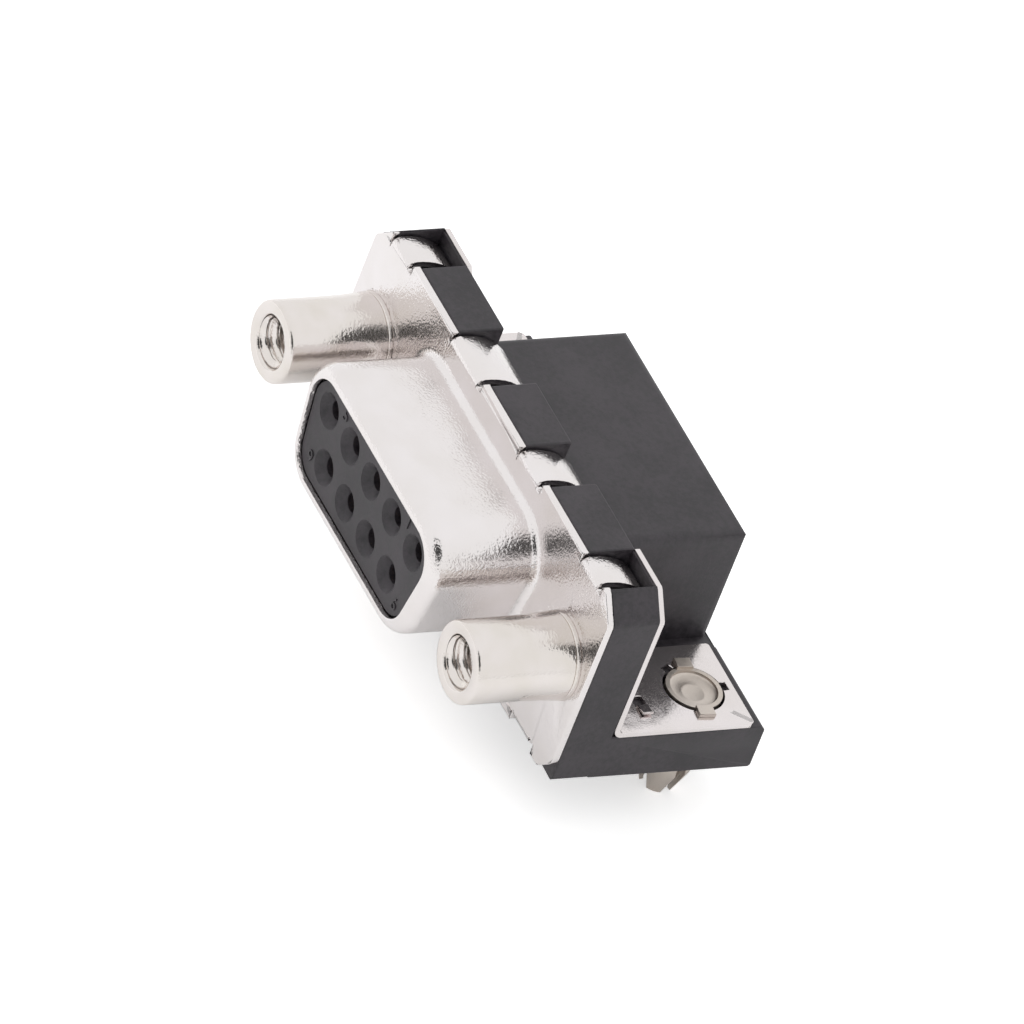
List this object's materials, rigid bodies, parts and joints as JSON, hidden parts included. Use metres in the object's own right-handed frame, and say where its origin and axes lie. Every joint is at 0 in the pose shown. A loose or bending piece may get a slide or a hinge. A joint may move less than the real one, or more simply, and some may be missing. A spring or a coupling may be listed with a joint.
{
  "type": "d-sub connector",
  "caption": "Right-angle D-subminiature socket connector for a circuit board: D-shaped metal shroud with clinched flange, screwlocks, brackets, board locks and bent tails.",
  "frame": {"origin": "the footprint's centre: on the board's surface, midway between the two board locks", "axes": "+X along the flange, to the right when looking at the mating face; -Y is the mating side; +Z away from the board"},
  "size_m": [0.0308, 0.0191, 0.0161],
  "materials": {
    "tinned_shell": "drawn steel sheet, bright tin plate with a fine grain",
    "black_moulding": "glass-filled thermoplastic, as moulded",
    "gold_contact": "stamped copper alloy, gold over nickel",
    "tinned_bracket": "folded steel sheet, tin plate",
    "plated_screwlock": "turned steel, tin plate",
    "plated_boardlock": "formed copper alloy, matt tin plate"
  },
  "bodies": {
    "root": {"front_shell": "tinned_shell", "front_insulator": "black_moulding", "rear_housing": "black_moulding", "tail_organiser": "black_moulding", "contact_1": "gold_contact", "contact_2": "gold_contact", "contact_3": "gold_contact", "contact_4": "gold_contact", "contact_5": "gold_contact", "contact_6": "gold_contact", "contact_7": "gold_contact", "contact_8": "gold_contact", "contact_9": "gold_contact", "bracket_left": "tinned_bracket", "bracket_right": "tinned_bracket", "screwlock_left": "plated_screwlock", "screwlock_right": "plated_screwlock", "boardlock_left": "plated_boardlock", "boardlock_right": "plated_boardlock"}
  },
  "joints": []
}
